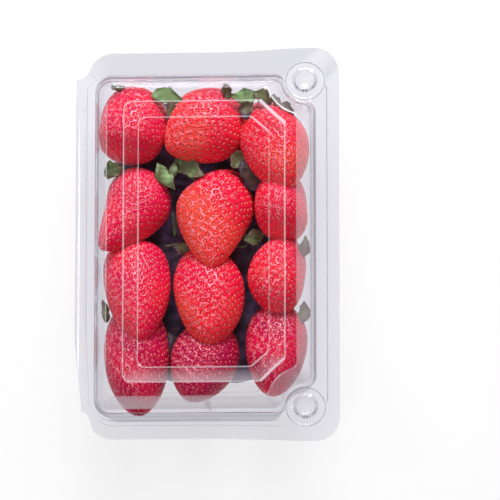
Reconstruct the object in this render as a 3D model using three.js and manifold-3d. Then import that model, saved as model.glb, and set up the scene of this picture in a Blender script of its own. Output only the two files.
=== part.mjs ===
// A clear hinged punnet of strawberries, lying on its tray with the lid shut.
// Millimetres, +Z up. The origin is under the middle of the flange, on the surface that the tray stands on.
// The hinge runs along the left side (-X). The snap buttons are at the two right corners.
import * as THREE from "three";
import { mergeVertices } from "three/addons/utils/BufferGeometryUtils.js";
import Module from "manifold-3d";

const wasm = await Module();
wasm.setup();

// ---------- driving dimensions ----------
const SHEET = 0.5; // thickness of the formed plastic
const NEST_GAP = 0.35; // between the two flanges, and between the two snap buttons
const TRAY_FLANGE = 34; // height of the tray flange's upper face
const LID_FLANGE = TRAY_FLANGE + NEST_GAP + SHEET; // height of the lid flange's upper face
const LID_RISE = 7.5; // from the lid flange up to the raised panel
const LID_RECESS = 1.8; // from the raised panel down to the middle panel
const BASE_RISE = 1.2; // how far the middle of the tray's base stands above its foot
const FRUIT_GAP = 0.4; // between the fruit and the plastic

// The flange outline: half width, half length at the hinge side, and how far it flares towards the buttons.
const FLANGE = { half: 62.8, end: 94, flare: 1.7, corner: 12 };
// The relief cut at each end of the hinge: a hollow curve that runs into a round one.
const RELIEF = { x: -63.5, inset: 4.2, radius: 7.5, meet: 20 * (Math.PI / 180) };
// The hinge's foot end is tucked in, as the pack has stood on it.
const TUCK = { depth: 3.2, from: 40, to: 84 };
const BUTTON = { x: 46.6, y: 79.3, rim: 9.3, boss: 6.1, height: 3 };
const HINGE_BEAD = { x: -60.2, half: 2.6, height: 1.2, end: 76 };
const SIDE_LIP = { x: 56.9, run: 1.5, drop: 0.9 };
const FOOT_CREASE = { y: 85.2, run: 2.2, drop: 1.1, fadeFrom: 18, fadeTo: 34 };

// Wall outlines, as rectangles with a hollow notch round each button.
const LID_FOOT = { left: -52.4, right: 49.3, end: 80.1, corner: 6.7, notch: { radius: 11.2, fillet: 5 } };
const LID_EDGE = { left: -47.9, right: 42.9, end: 75.2, corner: 4.6, notch: { radius: 18, fillet: 3 } };
const PANEL_EDGE = {
  left: -39.6, right: 37.1, end: 68.2, corner: 4.2, chamfer: [[25.1, 68.2], [37.1, 56.8]],
};
const PANEL_FOOT = {
  left: -32.7, right: 29.5, end: 60.8, corner: 3.8, chamfer: [[20.9, 60.8], [29.5, 53.4]],
};
const TRAY_MOUTH = { left: -53.4, right: 51.4, end: 83, corner: 8, notch: { radius: 10.2, fillet: 5 } };
const TRAY_TAPER = 3.2; // how far each tray wall leans in on its way down
const TRAY_ROUND = 4.6; // radius from the tray's wall to its base
const TRAY_FOOT_WIDTH = 7;

// Every strawberry that shows, row by row from the top end: its crown and tip, its width, how full it stays
// towards the tip, where it is widest, how far it bends sideways, and how square its shoulder is.
// The crowns lie low and each tip lies on the shoulder of the next row.
const STRAWBERRIES = [
  { crown: [-34.5, 78, 13], tip: [-39.5, 44.5, 30], width: 32, full: 4.5, peak: 0.5, bend: -1, square: 3.5 },
  { crown: [13.5, 75, 14], tip: [-19, 46.5, 30], width: 37, full: 1.6, peak: 0.45, bend: -1.5, square: 1.5 },
  { crown: [21.5, 72, 13], tip: [39.5, 28, 34], width: 32.5, full: 1.8, peak: 0.5, bend: -1.5, square: 1.8 },
  { crown: [-29.5, 39, 12], tip: [-50.5, -2, 33], width: 32, full: 1.2, peak: 0.35, bend: -3.5, square: 2.2 },
  { crown: [10, 39.5, 12], tip: [2, -11.5, 36], width: 37, full: 1.3, peak: 0.4, bend: 4, square: 1.5 },
  { crown: [35, 35.5, 12], tip: [37.5, 5.5, 31], width: 25.5, full: 3.3, peak: 0.45, bend: 2, square: 2.3 },
  { crown: [-36, 4, 12], tip: [-31.5, -47, 35], width: 31.5, full: 1.8, peak: 0.35, bend: 0, square: 3.2 },
  { crown: [-4.5, 1.5, 12], tip: [1.5, -49, 35.5], width: 34.5, full: 2, peak: 0.4, bend: -2.5, square: 1.8 },
  { crown: [38, 4.5, 12], tip: [34, -32.5, 33.5], width: 27, full: 2.1, peak: 0.5, bend: 3.5, square: 2.2 },
  { crown: [-36, -24, 12], tip: [-32.5, -82, 29], width: 32, full: 1.9, peak: 0.45, bend: 0, square: 2.2 },
  { crown: [4, -35, 12], tip: [-8.5, -75, 32], width: 31.5, full: 1.8, peak: 0.45, bend: 0, square: 2.2 },
  { crown: [33, -27, 12], tip: [31, -73, 32], width: 29, full: 2, peak: 0.4, bend: 0, square: 2.3 },
];
const STRAWBERRY_DEPTH = 31;

// The leaves that show between the fruit: middle, the tip's direction from +X, and its rise, in degrees.
const LEAVES = [
  { at: [-43, 78.3, 29], heading: 5, rise: 0, length: 7, width: 3 },
  { at: [-19.5, 74, 30], heading: 352, rise: 0, length: 15, width: 8 },
  { at: [-18, 67.5, 28], heading: 265, rise: 0, length: 9, width: 4.5 },
  { at: [9, 76, 30], heading: 100, rise: 20, length: 8, width: 5 },
  { at: [17, 73, 31], heading: 185, rise: 0, length: 13, width: 7 },
  { at: [18, 67, 29], heading: 265, rise: -5, length: 10, width: 7 },
  { at: [26.5, 72.5, 31], heading: -35, rise: 0, length: 10, width: 7 },
  { at: [32.5, 71.5, 28], heading: -50, rise: 0, length: 7, width: 4 },
  { at: [38, 67.5, 28], heading: -40, rise: 5, length: 9, width: 5 },
  { at: [-45, 38.5, 27], heading: 20, rise: 5, length: 11, width: 8 },
  { at: [-21, 34.5, 28], heading: -58, rise: 10, length: 17, width: 7 },
  { at: [-17, 37, 28], heading: -100, rise: 5, length: 10, width: 4 },
  { at: [-9, 38.5, 27], heading: -30, rise: 5, length: 17, width: 9 },
  { at: [15, 42, 26], heading: -40, rise: 0, length: 10, width: 8 },
  { at: [21.5, 34.5, 25], heading: -50, rise: 0, length: 19, width: 11 },
  { at: [-13.5, 1.5, 19], heading: 150, rise: 5, length: 9, width: 6 },
  { at: [22, 6, 21], heading: 20, rise: 0, length: 11, width: 7 },
  { at: [46, 0, 25], heading: 80, rise: 10, length: 11, width: 5 },
  { at: [45.5, -32, 25], heading: 80, rise: 10, length: 11, width: 6 },
  { at: [-49, -30, 24], heading: 100, rise: 10, length: 13, width: 5 },
  { at: [-17.5, -47, 18], heading: -80, rise: 0, length: 16, width: 7 },
];
const LEAF = { thickness: 1, wave: 0.8 };
const CORE = { inset: 3, top: 12 }; // the plain body under the strawberries, this far in from the tray's wall

// ---------- small helpers ----------
const TURN = Math.PI * 2;
const mix = (a, b, t) => a + (b - a) * t;
const smooth = (from, to, v) => {
  const t = Math.min(1, Math.max(0, (v - from) / (to - from)));
  return t * t * (3 - 2 * t);
};
const arc = (x, y, radius, from, to, steps) =>
  Array.from({ length: steps + 1 }, (_, i) => {
    const a = mix(from, to, i / steps);
    return [x + radius * Math.cos(a), y + radius * Math.sin(a)];
  });
const mirrored = (points) => points.map(([x, y]) => [x, -y]).reverse();

// ---------- outlines, each with the same number of points in the same order ----------
const LEFT_STEPS = [3, 4];
const RIGHT_STEPS = [3, 5, 3];
const EDGE_SPLITS = [0.06, 0.14, 0.86, 0.94];

// Joins the four corners, running anticlockwise from the bottom left, with straight edges that are split.
function outline(topRight, topLeft) {
  const corners = [mirrored(topLeft), mirrored(topRight), topRight, topLeft];
  return corners.flatMap((corner, i) => {
    const [x0, y0] = corner[corner.length - 1];
    const [x1, y1] = corners[(i + 1) % 4][0];
    const edge = EDGE_SPLITS.map((t) => [mix(x0, x1, t), mix(y0, y1, t)]);
    return [...corner, ...edge];
  });
}

// The circle that cuts a corner: round the button, or a nearly flat one along a straight chamfer.
function cutCircle({ notch, chamfer }) {
  if (notch) return { x: BUTTON.x, y: BUTTON.y, radius: notch.radius, fillet: notch.fillet };
  const [[x0, y0], [x1, y1]] = chamfer;
  const span = Math.hypot(x1 - x0, y1 - y0);
  const radius = 150;
  return {
    x: (x0 + x1) / 2 + (radius * (y0 - y1)) / span,
    y: (y0 + y1) / 2 + (radius * (x1 - x0)) / span,
    radius,
    fillet: 3,
  };
}

function wallOutline(wall) {
  const { left, right, end, corner } = wall;
  const cut = cutCircle(wall);
  const reach = cut.radius + cut.fillet;
  const low = [right - cut.fillet, cut.y - Math.sqrt(reach ** 2 - (right - cut.fillet - cut.x) ** 2)];
  const high = [cut.x - Math.sqrt(reach ** 2 - (end - cut.fillet - cut.y) ** 2), end - cut.fillet];
  const lowTurn = Math.atan2(cut.y - low[1], cut.x - low[0]);
  const highTurn = Math.atan2(cut.y - high[1], cut.x - high[0]);
  const topRight = [
    ...arc(...low, cut.fillet, 0, lowTurn, RIGHT_STEPS[0]),
    ...arc(cut.x, cut.y, cut.radius, lowTurn + Math.PI, highTurn + Math.PI, RIGHT_STEPS[1]).slice(1, -1),
    ...arc(...high, cut.fillet, highTurn, TURN / 4, RIGHT_STEPS[2]),
  ];
  const topLeft = arc(left + corner, end - corner, corner, TURN / 4, TURN / 2, LEFT_STEPS[0] + LEFT_STEPS[1]);
  return outline(topRight, topLeft);
}

function inset(wall, by) {
  return {
    left: wall.left + by,
    right: wall.right - by,
    end: wall.end - by,
    corner: Math.max(wall.corner - by * 0.4, 3),
    notch: { radius: wall.notch.radius + by, fillet: wall.notch.fillet },
  };
}

function flangeOutline() {
  const { half, end, flare, corner } = FLANGE;
  const steps = RIGHT_STEPS[0] + RIGHT_STEPS[1] + RIGHT_STEPS[2];
  const topRight = arc(half - corner, end - corner, corner, 0, TURN / 4, steps);
  const hollow = { x: RELIEF.x, y: end - RELIEF.inset - 1.6, radius: RELIEF.radius };
  const bend = Math.sin(RELIEF.meet);
  const round = (end - hollow.y + hollow.radius * bend) / (1 - bend);
  const reach = hollow.radius + round;
  const turn = { x: hollow.x + reach * Math.cos(RELIEF.meet), y: hollow.y - reach * bend };
  const last = -Math.acos((-half - hollow.x) / hollow.radius);
  const topLeft = [
    ...arc(turn.x, turn.y, round, TURN / 4, TURN / 2 - RELIEF.meet, LEFT_STEPS[0]),
    ...arc(hollow.x, hollow.y, hollow.radius, -RELIEF.meet, last, LEFT_STEPS[1]).slice(1),
  ];
  return outline(topRight, topLeft).map(([x, y]) => [
    x + TUCK.depth * smooth(TUCK.from, TUCK.to, -y) * smooth(52, half, -x),
    y * (1 + (flare / end) * smooth(5, 50, x)),
  ]);
}

const between = (a, b, t) => a.map(([x, y], i) => [mix(x, b[i][0], t), mix(y, b[i][1], t)]);

// Height above the flange's level: a bead by the hinge, a lip at the open side, a crease at the foot end.
function flangeShape(x, y) {
  const bead = Math.max(0, 1 - ((x - HINGE_BEAD.x) / HINGE_BEAD.half) ** 2);
  const beadEnd = 1 - smooth(HINGE_BEAD.end - 8, HINGE_BEAD.end, Math.abs(y));
  const lip = smooth(SIDE_LIP.x, SIDE_LIP.x + SIDE_LIP.run, x);
  const crease = smooth(FOOT_CREASE.y, FOOT_CREASE.y + FOOT_CREASE.run, -y);
  const fade = 1 - smooth(FOOT_CREASE.fadeFrom, FOOT_CREASE.fadeTo, x);
  return HINGE_BEAD.height * bead * beadEnd - SIDE_LIP.drop * lip - FOOT_CREASE.drop * crease * fade;
}

// ---------- formed sheet: rings from the rim to the middle, given thickness along their normals ----------
function ring(points, height, flat = false) {
  const level = typeof height === "function" ? height : () => height;
  return { points: points.map(([x, y]) => new THREE.Vector3(x, y, level(x, y))), flat };
}

// The tray and the lid share these, so that their flanges nest.
function flangeRings(level) {
  const rim = flangeOutline();
  const foot = wallOutline(LID_FOOT);
  return [0, 0.22, 0.42, 0.62, 0.78].map((t) =>
    ring(between(rim, foot, t), (x, y) => level + flangeShape(x, y)),
  );
}

function formedSheet(rings) {
  const count = rings[0].points.length;
  const last = rings.length - 1;
  const middle = rings[last].points
    .reduce((sum, p) => sum.add(p), new THREE.Vector3())
    .divideScalar(count);
  const at = (r, k) => (r > last ? middle : rings[r].points[(k + count) % count]);
  const normal = (r, k) => {
    if (rings[r].flat) return new THREE.Vector3(0, 0, 1);
    const along = at(r, k + 1).clone().sub(at(r, k - 1));
    const across = at(r + 1, k).clone().sub(at(Math.max(r - 1, 0), k));
    return along.cross(across).normalize();
  };
  const upper = rings.map((each, r) => each.points);
  const sunk = (p, r, k) => p.clone().addScaledVector(normal(r, k), -SHEET);
  const lower = upper.map((points, r) => points.map((p, k) => sunk(p, r, k)));
  const lowerMiddle = middle.clone().add(new THREE.Vector3(0, 0, -SHEET));
  const triangles = [];
  const quad = (a, b, c, d) => triangles.push(a, b, c, a, c, d);
  for (let k = 0; k < count; k++) {
    const n = (k + 1) % count;
    quad(lower[0][k], lower[0][n], upper[0][n], upper[0][k]);
    for (let r = 0; r < last; r++) {
      quad(upper[r][k], upper[r][n], upper[r + 1][n], upper[r + 1][k]);
      quad(lower[r + 1][n], lower[r][n], lower[r][k], lower[r + 1][k]);
    }
    triangles.push(upper[last][k], upper[last][n], middle);
    triangles.push(lower[last][n], lower[last][k], lowerMiddle);
  }
  return new THREE.BufferGeometry().setFromPoints(triangles);
}

// ---------- solids ----------
function solid(geometry) {
  const plain = geometry.clone();
  plain.deleteAttribute("normal");
  plain.deleteAttribute("uv");
  const merged = mergeVertices(plain, 1e-4);
  return new wasm.Manifold(
    new wasm.Mesh({
      numProp: 3,
      vertProperties: merged.attributes.position.array,
      triVerts: new Uint32Array(merged.index.array),
    }),
  );
}

function geometryOf(body) {
  const { numProp, vertProperties, triVerts } = body.getMesh();
  const position = new Float32Array((vertProperties.length / numProp) * 3);
  for (let i = 0; i * 3 < position.length; i++) {
    position.set(vertProperties.subarray(i * numProp, i * numProp + 3), i * 3);
  }
  const geometry = new THREE.BufferGeometry();
  geometry.setAttribute("position", new THREE.BufferAttribute(position, 3));
  geometry.setIndex(new THREE.BufferAttribute(new Uint32Array(triVerts), 1));
  geometry.computeVertexNormals();
  return geometry;
}

// The largest shell alone, which fills sealed hollows and drops loose scraps.
function outerShell(body) {
  return body.decompose().reduce((best, each) => (each.volume() > best.volume() ? each : best));
}

// A solid of revolution about +Z from a closed profile of [radius, height] points.
function turned(profile, segments) {
  const points = profile.map(([r, z]) => new THREE.Vector2(r, z));
  return new THREE.LatheGeometry(points, segments).rotateX(Math.PI / 2);
}

// The snap button: a sunk ring round a raised boss, as a sheet that replaces a disc of the flange.
// shrink makes the tray's boss small enough to go inside the lid's.
function buttonProfile(level, shrink) {
  const { rim, boss, height } = BUTTON;
  const narrow = ([r, z]) => [r < boss + 0.3 ? Math.max(r - shrink, 0) : r, z];
  const upper = [
    [rim + 0.2, 0],
    [rim - 0.3, -0.4],
    [boss + 0.6, -0.4],
    [boss, 0.1],
    [boss - 0.4, height - 0.4],
    [boss - 0.9, height],
    [0, height - 0.3],
  ].map(narrow);
  const lower = [
    [rim + 0.2, 0],
    [rim - 0.4, -0.4],
    [boss + 0.2, -0.4],
    [boss - 0.5, 0.1],
    [boss - 0.9, height - 0.5],
    [boss - 1.2, height],
    [0, height - 0.3],
  ].map(narrow);
  const lowered = lower.map(([r, z]) => [r, z - SHEET]);
  return [...upper, ...lowered.reverse(), upper[0]].map(([r, z]) => [r, level + z]);
}

function withButtons(sheet, level, shrink) {
  const segments = 18;
  const [low, high] = [level - 4, level + 4];
  const hole = turned([[0, low], [BUTTON.rim, low], [BUTTON.rim, high], [0, high]], segments);
  const boss = turned(buttonProfile(level, shrink), segments);
  let body = solid(sheet);
  for (const side of [1, -1]) {
    body = body.subtract(solid(hole.clone().translate(BUTTON.x, side * BUTTON.y, 0)));
    body = body.add(solid(boss.clone().translate(BUTTON.x, side * BUTTON.y, 0)));
  }
  return body;
}

function makeLid() {
  const foot = wallOutline(LID_FOOT);
  const edge = wallOutline(LID_EDGE);
  const panelEdge = wallOutline(PANEL_EDGE);
  const panelFoot = wallOutline(PANEL_FOOT);
  const level = LID_FLANGE;
  const wall = [[0.16, 0.06], [0.84, 0.92], [1, 1]]; // rounded at the foot and the edge
  const rings = [
    ...flangeRings(level),
    ring(foot, level),
    ...wall.map(([t, rise]) => ring(between(foot, edge, t), level + LID_RISE * rise)),
    ring(panelEdge, level + LID_RISE),
    ring(panelFoot, level + LID_RISE - LID_RECESS, true),
  ];
  return geometryOf(withButtons(formedSheet(rings), level, 0));
}

function makeTray() {
  const mouth = wallOutline(TRAY_MOUTH);
  const level = TRAY_FLANGE;
  const down = (by) => wallOutline(inset(TRAY_MOUTH, by));
  const foot = TRAY_TAPER + TRAY_ROUND;
  const rings = [
    ...flangeRings(level),
    ring(mouth, level - 0.1),
    ring(down(0.5), level - 1.4),
    ring(down(TRAY_TAPER), TRAY_ROUND + SHEET),
    ring(down(TRAY_TAPER + TRAY_ROUND * 0.35), SHEET + TRAY_ROUND * 0.24),
    ring(down(foot), SHEET, true),
    ring(down(foot + TRAY_FOOT_WIDTH), SHEET, true),
    ring(down(foot + TRAY_FOOT_WIDTH + 2.5), SHEET + BASE_RISE, true),
  ];
  return geometryOf(withButtons(formedSheet(rings), level, SHEET + NEST_GAP));
}

// ---------- the fruit ----------
// A closed solid through a stack of outlines.
function lofted(rings) {
  const count = rings[0].points.length;
  const ends = [rings[0], rings[rings.length - 1]];
  const middles = ends.map(({ points }) => new THREE.Vector3(0, 0, points[0].z));
  const triangles = [];
  for (let k = 0; k < count; k++) {
    const n = (k + 1) % count;
    for (let r = 0; r < rings.length - 1; r++) {
      const [low, high] = [rings[r].points, rings[r + 1].points];
      triangles.push(low[k], low[n], high[n], low[k], high[n], high[k]);
    }
    triangles.push(rings[0].points[n], rings[0].points[k], middles[0]);
    const top = rings[rings.length - 1].points;
    triangles.push(top[k], top[n], middles[1]);
  }
  return new THREE.BufferGeometry().setFromPoints(triangles);
}

// The room between the tray and the lid, less a gap all round.
function room() {
  const tray = (by) => wallOutline(inset(TRAY_MOUTH, by + FRUIT_GAP));
  const shrunk = SHEET + FRUIT_GAP;
  const foot = wallOutline(inset(LID_FOOT, shrunk));
  const edge = wallOutline(inset(LID_EDGE, shrunk));
  const ceiling = LID_FLANGE + LID_RISE - LID_RECESS - shrunk;
  const rise = (ceiling - TRAY_FLANGE) / (LID_FLANGE + LID_RISE - TRAY_FLANGE);
  return lofted([
    ring(tray(TRAY_TAPER + TRAY_ROUND), SHEET + BASE_RISE + FRUIT_GAP),
    ring(tray(TRAY_TAPER), TRAY_ROUND + SHEET + FRUIT_GAP),
    ring(tray(0.5), TRAY_FLANGE - 1.4),
    ring(foot, TRAY_FLANGE - 0.4),
    ring(between(foot, edge, rise), ceiling),
  ]);
}

function core() {
  const level = (by) => wallOutline(inset(TRAY_MOUTH, by + CORE.inset));
  return lofted([
    ring(level(TRAY_TAPER + TRAY_ROUND), SHEET + BASE_RISE + FRUIT_GAP),
    ring(level(TRAY_TAPER), TRAY_ROUND + SHEET),
    ring(level(TRAY_TAPER), CORE.top),
  ]);
}

function strawberry({ crown, tip, width, full, peak, bend, square }) {
  const from = new THREE.Vector3(...crown);
  const along = new THREE.Vector3(...tip).sub(from);
  const length = along.length();
  along.normalize();
  const steps = 11;
  const profile = Array.from({ length: steps + 1 }, (_, i) => {
    const t = (1 - Math.cos((Math.PI * i) / steps)) / 2;
    const radius =
      t < peak
        ? Math.sqrt(1 - (1 - t / peak) ** square)
        : Math.max(1 - ((t - peak) / (1 - peak)) ** full, 0) ** 0.62;
    return new THREE.Vector2(i === 0 || i === steps ? 0 : radius, t * length);
  });
  const side = new THREE.Vector3().crossVectors(along, new THREE.Vector3(0, 0, 1)).normalize();
  const face = new THREE.Vector3().crossVectors(side, along);
  const place = new THREE.Matrix4().makeBasis(side, along, face).setPosition(from);
  const body = new THREE.LatheGeometry(profile, 16).scale(width / 2, 1, STRAWBERRY_DEPTH / 2);
  const points = body.attributes.position;
  for (let i = 0; i < points.count; i++) {
    points.setX(i, points.getX(i) + bend * Math.sin((Math.PI * points.getY(i)) / length));
  }
  return body.applyMatrix4(place);
}

// A thin wavy leaf, with both faces split into triangles alike.
function leaf({ at, heading, rise, length, width }, index) {
  const along = 5;
  const across = [-1, 0, 1];
  const face = (side) =>
    Array.from({ length: along + 1 }, (_, i) => {
      const t = i / along;
      const half = (width / 2) * Math.max(Math.sin(Math.PI * t ** 0.8) ** 0.7, 0.12);
      return across.map((v) => {
        const cupped = Math.abs(v) * 0.8 * Math.cos(index + 4 * t);
        const wave = LEAF.wave * Math.sin(TURN * t + index) + cupped;
        return new THREE.Vector3((t - 0.5) * length, v * half, wave + (side * LEAF.thickness) / 2);
      });
    });
  const [top, bottom] = [face(1), face(-1)];
  const triangles = [];
  const quad = (a, b, c, d) => triangles.push(a, b, c, a, c, d);
  for (let i = 0; i < along; i++) {
    for (let j = 0; j < across.length - 1; j++) {
      quad(top[i][j], top[i + 1][j], top[i + 1][j + 1], top[i][j + 1]);
      triangles.push(bottom[i][j], bottom[i + 1][j + 1], bottom[i + 1][j]);
      triangles.push(bottom[i][j], bottom[i][j + 1], bottom[i + 1][j + 1]);
    }
    quad(bottom[i][0], bottom[i + 1][0], top[i + 1][0], top[i][0]);
    quad(top[i][2], top[i + 1][2], bottom[i + 1][2], bottom[i][2]);
  }
  for (let j = 0; j < across.length - 1; j++) {
    quad(top[0][j], top[0][j + 1], bottom[0][j + 1], bottom[0][j]);
    quad(bottom[along][j], bottom[along][j + 1], top[along][j + 1], top[along][j]);
  }
  const degree = Math.PI / 180;
  return new THREE.BufferGeometry()
    .setFromPoints(triangles)
    .rotateY(-rise * degree)
    .rotateZ(heading * degree)
    .translate(...at);
}

function makeStrawberries() {
  const pieces = [...STRAWBERRIES.map(strawberry), ...LEAVES.map(leaf)];
  const heap = pieces.reduce((sum, piece) => sum.add(solid(piece)), solid(core()));
  return geometryOf(outerShell(heap.intersect(solid(room()))));
}

const clear = { color: 0xe6e8f0, roughness: 0.08, transparent: true, opacity: 0.3 };
const red = { color: 0xc8142a, roughness: 0.4 };
const group = new THREE.Group();
const pieces = [
  ["tray", makeTray(), clear],
  ["strawberries", makeStrawberries(), red],
  ["lid", makeLid(), clear],
];
for (const [name, geometry, look] of pieces) {
  const mesh = new THREE.Mesh(geometry, new THREE.MeshStandardMaterial(look));
  mesh.name = name;
  group.add(mesh);
}

export default group;
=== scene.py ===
"""A clear hinged punnet of strawberries, lying on its tray with the lid shut, for Blender 4.5.

Sizes are in millimetres in the frame of the CAD part: +X from the hinge to the snap buttons, +Y along the
hinge to the end shown at the top of the photo, +Z up out of the lid. Meshes are written in metres.
"""
import math

import bpy
import numpy as np
from mathutils import Matrix, Vector


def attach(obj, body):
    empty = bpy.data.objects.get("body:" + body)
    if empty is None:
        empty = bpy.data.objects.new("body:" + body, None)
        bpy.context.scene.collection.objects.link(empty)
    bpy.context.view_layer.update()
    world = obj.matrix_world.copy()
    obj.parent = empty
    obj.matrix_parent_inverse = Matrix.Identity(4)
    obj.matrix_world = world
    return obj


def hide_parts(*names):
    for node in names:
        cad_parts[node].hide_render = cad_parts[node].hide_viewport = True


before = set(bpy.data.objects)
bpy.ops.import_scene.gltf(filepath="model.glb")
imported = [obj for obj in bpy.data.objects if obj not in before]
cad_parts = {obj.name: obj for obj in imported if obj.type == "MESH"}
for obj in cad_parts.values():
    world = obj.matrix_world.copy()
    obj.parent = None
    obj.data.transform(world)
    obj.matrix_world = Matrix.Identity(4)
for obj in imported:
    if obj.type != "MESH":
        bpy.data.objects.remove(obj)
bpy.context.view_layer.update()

MM = 0.001
TURN = 2 * math.pi
RANDOM = np.random.default_rng(12)  # for the seeds

# ---------- sizes of the formed plastic, as in the CAD part ----------
SHEET = 0.5  # thickness
NEST_GAP = 0.35  # between the two flanges, and between the two snap buttons
TRAY_FLANGE = 34.0  # height of the flange's upper face
LID_FLANGE = TRAY_FLANGE + NEST_GAP + SHEET
LID_RISE = 7.5  # from the lid's flange up to its raised panel
LID_RECESS = 1.8  # from the raised panel down to the middle one
BASE_RISE = 1.2  # from the tray's foot up to the middle of its base
FRUIT_GAP = 0.4  # between the fruit and the plastic

# The flange: half width, half length at the hinge, how far it flares towards the buttons, and the corners.
FLANGE = dict(half=62.8, end=94, flare=1.7, flare_start=5, flare_stop=50, corner=12)
# The relief cut at each end of the hinge: a hollow curve that runs into a round one.
RELIEF = dict(x=-63.5, inset=4.2, lower=1.6, radius=7.5, meet=math.radians(20))
# The hinge's foot end is tucked in, as the pack has stood on it.
TUCK = dict(depth=3.2, start=40, stop=84, inner=52)
BUTTON = dict(x=46.6, y=79.3, rim=9.3, boss=6.1, height=3)
HINGE_BEAD = dict(x=-60.2, half=2.6, height=1.2, end=76, fade=8)
SIDE_LIP = dict(start=56.9, run=1.5, drop=0.9)
FOOT_CREASE = dict(start=85.2, run=2.2, drop=1.1, fade_from=18, fade_to=34)

# Wall outlines: rectangles with a hollow notch (radius, fillet) round each button, or a chamfer beside it.
LID_FOOT = dict(left=-52.4, right=49.3, end=80.1, corner=6.7, notch=(11.2, 5))
LID_EDGE = dict(left=-47.9, right=42.9, end=75.2, corner=4.6, notch=(18, 3))
PANEL_EDGE = dict(left=-39.6, right=37.1, end=68.2, corner=4.2, chamfer=((25.1, 68.2), (37.1, 56.8)))
PANEL_FOOT = dict(left=-32.7, right=29.5, end=60.8, corner=3.8, chamfer=((20.9, 60.8), (29.5, 53.4)))
CHAMFER_RADIUS, CHAMFER_FILLET = 150, 3  # a chamfer is an arc so wide that it looks straight
TRAY_MOUTH = dict(left=-53.4, right=51.4, end=83, corner=8, notch=(10.2, 5))
TRAY_TAPER = 3.2  # how far each tray wall leans in on its way down
TRAY_ROUND = 4.6  # radius from the tray's wall to its base
TRAY_FOOT_WIDTH = 7

# ---------- the fruit, as in the CAD part ----------
# Row by row from the top end: crown and tip, width, how full it stays towards the tip, where it is widest,
# how far it bends sideways, and how square its shoulder is.
STRAWBERRIES = [
    ((-34.5, 78, 13), (-39.5, 44.5, 30), 32, 4.5, 0.5, -1, 3.5),
    ((13.5, 75, 14), (-19, 46.5, 30), 37, 1.6, 0.45, -1.5, 1.5),
    ((21.5, 72, 13), (39.5, 28, 34), 32.5, 1.8, 0.5, -1.5, 1.8),
    ((-29.5, 39, 12), (-50.5, -2, 33), 32, 1.2, 0.35, -3.5, 2.2),
    ((10, 39.5, 12), (2, -11.5, 36), 37, 1.3, 0.4, 4, 1.5),
    ((35, 35.5, 12), (37.5, 5.5, 31), 25.5, 3.3, 0.45, 2, 2.3),
    ((-36, 4, 12), (-31.5, -47, 35), 31.5, 1.8, 0.35, 0, 3.2),
    ((-4.5, 1.5, 12), (1.5, -49, 35.5), 34.5, 2, 0.4, -2.5, 1.8),
    ((38, 4.5, 12), (34, -32.5, 33.5), 27, 2.1, 0.5, 3.5, 2.2),
    ((-36, -24, 12), (-32.5, -82, 29), 32, 1.9, 0.45, 0, 2.2),
    ((4, -35, 12), (-8.5, -75, 32), 31.5, 1.8, 0.45, 0, 2.2),
    ((33, -27, 12), (31, -73, 32), 29, 2, 0.4, 0, 2.3),
]
STRAWBERRY_DEPTH = 31
# How orange each one's tip is, and how far painted shade takes its red on towards crimson.
WARMTH = (0.2, 0.6, 0.5, 0.25, 0.76, 0.35, 0.2, 0.62, 0.55, 0.1, 0.05, 0.15)
PAINTED_SHADE = (0.04, 0, 0, 0.1, 0, 0.1, 0.04, 0.08, 0.14, 0.24, 0.45, 0.24)

# Leaves between the fruit: middle, the tip's direction from +X and its rise in degrees, length, width, and a
# tone that runs from dark purple brown at 0 to bright green at 1.
LEAVES = [
    ((-43, 78.3, 29), 5, 0, 7, 3, 0.6),
    ((-19.5, 74, 30), 352, 0, 15, 8, 1),
    ((-18, 67.5, 28), 265, 0, 9, 4.5, 0.5),
    ((9, 76, 30), 100, 20, 8, 5, 0.5),
    ((17, 73, 31), 185, 0, 13, 7, 0.95),
    ((18, 67, 29), 265, -5, 10, 7, 0.3),
    ((26.5, 72.5, 31), -35, 0, 10, 7, 0.45),
    ((32.5, 71.5, 28), -50, 0, 7, 4, 0.5),
    ((38, 67.5, 28), -40, 5, 9, 5, 0.35),
    ((-45, 38.5, 27), 20, 5, 11, 8, 0.58),
    ((-21, 34.5, 28), -58, 10, 17, 7, 0.85),
    ((-17, 37, 28), -100, 5, 10, 4, 0.75),
    ((-9, 38.5, 27), -30, 5, 17, 9, 0.68),
    ((15, 42, 26), -40, 0, 10, 8, 0.5),
    ((21.5, 34.5, 25), -50, 0, 19, 11, 0.08),
    ((-13.5, 1.5, 19), 150, 5, 9, 6, 0.45),
    ((22, 6, 21), 20, 0, 11, 7, 0.62),
    ((46, 0, 25), 80, 10, 11, 5, 0.5),
    ((45.5, -32, 25), 80, 10, 11, 6, 0.5),
    ((-49, -30, 24), 100, 10, 11, 4, 0.5),
    ((-17.5, -47, 18), -80, 0, 16, 7, 0),
]

# Thin stems that show in the gaps: start, stop, radius and how far each sags.
STEMS = [
    ((-17.5, 18.5, 20), (-16.5, 7.5, 19), 0.5, 0.5),
    ((-15.5, 17, 20), (-16, 8, 19), 0.35, 0.5),
    ((-21, 2.5, 19), (-11, 3.8, 20), 0.4, 0.5),
    ((9, 1, 21), (18, 1.5, 21), 0.35, 0.5),
    ((24, 7, 22), (17, 2, 20), 0.45, 0.5),
    ((-14, 40, 22), (-6, 33, 24), 0.5, 1),
]


# ---------- small helpers ----------
def mix(a, b, t):
    return a + (b - a) * t


def smooth(start, stop, v):
    t = np.clip((np.asarray(v, float) - start) / (stop - start), 0, 1)
    return t * t * (3 - 2 * t)


def arc(x, y, radius, start, stop, steps):
    a = np.linspace(start, stop, steps + 1)
    return np.stack([x + radius * np.cos(a), y + radius * np.sin(a)], -1)


def unit(v):
    return v / np.maximum(np.linalg.norm(v, axis=-1, keepdims=True), 1e-12)


def paint(obj, name, values):
    """One number for each point, for materials to read."""
    layer = obj.data.attributes.new(name, "FLOAT", "POINT")
    layer.data.foreach_set("value", np.asarray(values, np.float32))


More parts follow.
